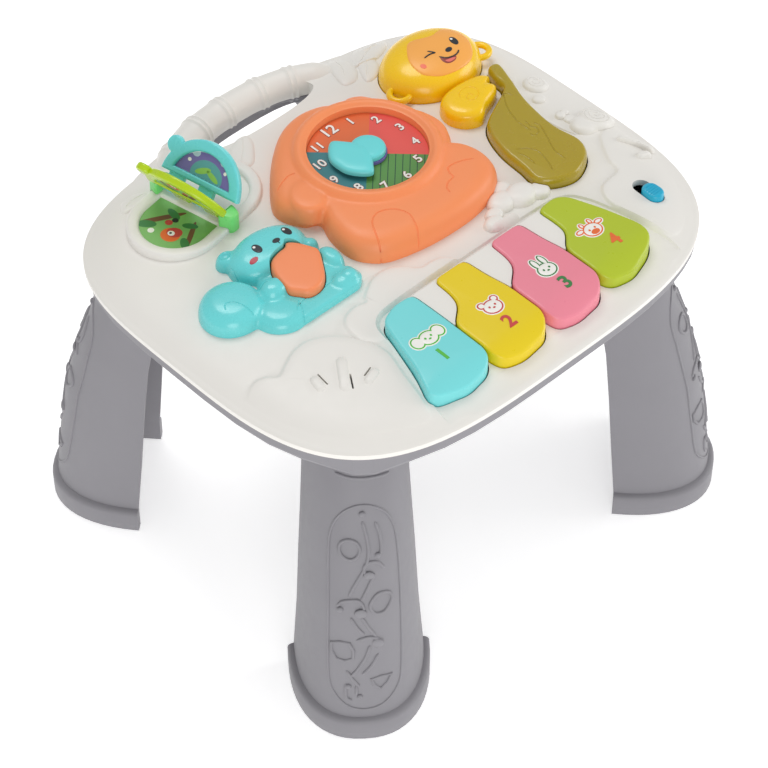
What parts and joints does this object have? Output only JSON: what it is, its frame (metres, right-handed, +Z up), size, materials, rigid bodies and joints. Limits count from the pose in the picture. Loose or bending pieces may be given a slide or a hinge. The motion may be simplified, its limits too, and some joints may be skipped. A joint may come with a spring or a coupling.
{
  "type": "musical activity table",
  "caption": "Toddler's standing activity table with piano keys, a turning clock, animal buttons, a flip book, a slide switch, a carrying handle and splayed legs.",
  "frame": {"origin": "on the floor under the middle of the table", "axes": "+X to the right along the key row, +Y from the keys towards the carrying handle, +Z up"},
  "size_m": [0.3772, 0.3486, 0.3036],
  "materials": {
    "white_shell": "satin moulded",
    "grey_shell": "satin moulded",
    "orange_housing": "satin moulded",
    "dial_print": "printed sheet, four colour sectors with numbers",
    "cyan_plastic": "glossy moulded",
    "purple_plastic": "glossy",
    "orange_button": "glossy moulded",
    "yellow_plastic": "glossy moulded",
    "face_plastic": "glossy moulded with printed face",
    "olive_plastic": "translucent moulded",
    "key_cyan": "glossy with sticker",
    "key_yellow": "glossy with sticker",
    "key_pink": "glossy with sticker",
    "key_green": "glossy with sticker",
    "lime_plastic": "glossy moulded",
    "page_cyan_plastic": "glossy moulded",
    "picture_print": "printed sheet",
    "hinge_green": "glossy moulded",
    "blue_plastic": "glossy moulded",
    "steel": "plain steel",
    "black_plastic": "matt moulded",
    "rubber": "matt",
    "circuit_board": "resin board",
    "lamp": "clear lens"
  },
  "bodies": {
    "table": {"top_shell": "white_shell", "bottom_shell": "grey_shell", "leg_front_left": "grey_shell", "leg_front_right": "grey_shell", "leg_back_left": "grey_shell", "leg_back_right": "grey_shell", "clock_housing": "orange_housing", "dial_plate": "dial_print", "knob_spindle_nut": "steel", "squirrel_body": "cyan_plastic", "monkey_arm": "yellow_plastic", "book_block_front": "hinge_green", "book_block_rear": "hinge_green", "book_picture": "picture_print", "book_hinge_pin": "steel", "key_pivot_rod": "steel", "key_contact_strip": "rubber", "key_board": "circuit_board", "nut_spring": "steel", "leaf_spring": "steel", "head_spring": "steel", "nut_switch": "black_plastic", "leaf_switch": "black_plastic", "head_switch": "black_plastic", "leaf_light": "lamp", "speaker": "black_plastic", "switch_body": "black_plastic", "battery_box": "black_plastic", "battery_1": "black_plastic", "battery_2": "black_plastic", "battery_3": "black_plastic", "contact_plate_front": "steel", "contact_plate_rear": "steel", "battery_door": "grey_shell", "battery_door_screw": "steel", "case_screw_1": "steel", "case_screw_2": "steel", "case_screw_3": "steel", "case_screw_4": "steel", "case_screw_5": "steel", "case_screw_6": "steel"},
    "key_1": {"key_1": "key_cyan"},
    "key_2": {"key_2": "key_yellow"},
    "key_3": {"key_3": "key_pink"},
    "key_4": {"key_4": "key_green"},
    "nut_button": {"nut_button": "orange_button"},
    "leaf_button": {"leaf_button": "olive_plastic"},
    "monkey_head": {"monkey_head": "yellow_plastic", "monkey_face": "face_plastic"},
    "clock_knob": {"clock_knob": "cyan_plastic", "knob_disc": "purple_plastic"},
    "page_lime": {"page_lime": "lime_plastic", "page_lime_picture": "picture_print"},
    "page_cyan": {"page_cyan": "page_cyan_plastic", "page_cyan_picture": "picture_print"},
    "switch_slider": {"switch_slider": "blue_plastic"}
  },
  "joints": [
    {"name": "key_1_pivot", "type": "hinge", "parent": "table", "child": "key_1", "pos_m": [0, -0.066, 0.252], "axis": [1, 0, 0], "range_deg": [0, 3], "stiffness_Nm_per_rad": 0.25, "springref_deg": -10},
    {"name": "key_2_pivot", "type": "hinge", "parent": "table", "child": "key_2", "pos_m": [0, -0.066, 0.252], "axis": [1, 0, 0], "range_deg": [0, 3], "stiffness_Nm_per_rad": 0.25, "springref_deg": -10},
    {"name": "key_3_pivot", "type": "hinge", "parent": "table", "child": "key_3", "pos_m": [0, -0.066, 0.252], "axis": [1, 0, 0], "range_deg": [0, 3], "stiffness_Nm_per_rad": 0.25, "springref_deg": -10},
    {"name": "key_4_pivot", "type": "hinge", "parent": "table", "child": "key_4", "pos_m": [0, -0.066, 0.252], "axis": [1, 0, 0], "range_deg": [0, 3], "stiffness_Nm_per_rad": 0.25, "springref_deg": -10},
    {"name": "nut_button_press", "type": "slide", "parent": "table", "child": "nut_button", "axis": [0, 0, -1], "range_m": [0, 0.0022], "stiffness_N_per_m": 400, "springref_m": -0.004, "deforming": ["nut_spring"]},
    {"name": "leaf_button_press", "type": "slide", "parent": "table", "child": "leaf_button", "axis": [0, 0, -1], "range_m": [0, 0.0022], "stiffness_N_per_m": 400, "springref_m": -0.004, "deforming": ["leaf_spring"]},
    {"name": "monkey_head_press", "type": "slide", "parent": "table", "child": "monkey_head", "axis": [0, 0, -1], "range_m": [0, 0.0022], "stiffness_N_per_m": 400, "springref_m": -0.004, "deforming": ["head_spring"]},
    {"name": "clock_knob_turn", "type": "hinge", "parent": "table", "child": "clock_knob", "pos_m": [0.0187, 0.0354, 0.275], "axis": [0, 0, 1], "continuous": true},
    {"name": "page_lime_hinge", "type": "hinge", "parent": "table", "child": "page_lime", "pos_m": [-0.09, 0.086, 0.2695], "axis": [-0.1908, 0.9816, 0], "range_deg": [-58, 44]},
    {"name": "page_cyan_hinge", "type": "hinge", "parent": "table", "child": "page_cyan", "pos_m": [-0.09, 0.086, 0.2695], "axis": [-0.1908, 0.9816, 0], "range_deg": [-54, 52]},
    {"name": "switch_slide", "type": "slide", "parent": "table", "child": "switch_slider", "axis": [0, 1, 0], "range_m": [0, 0.0075]}
  ]
}
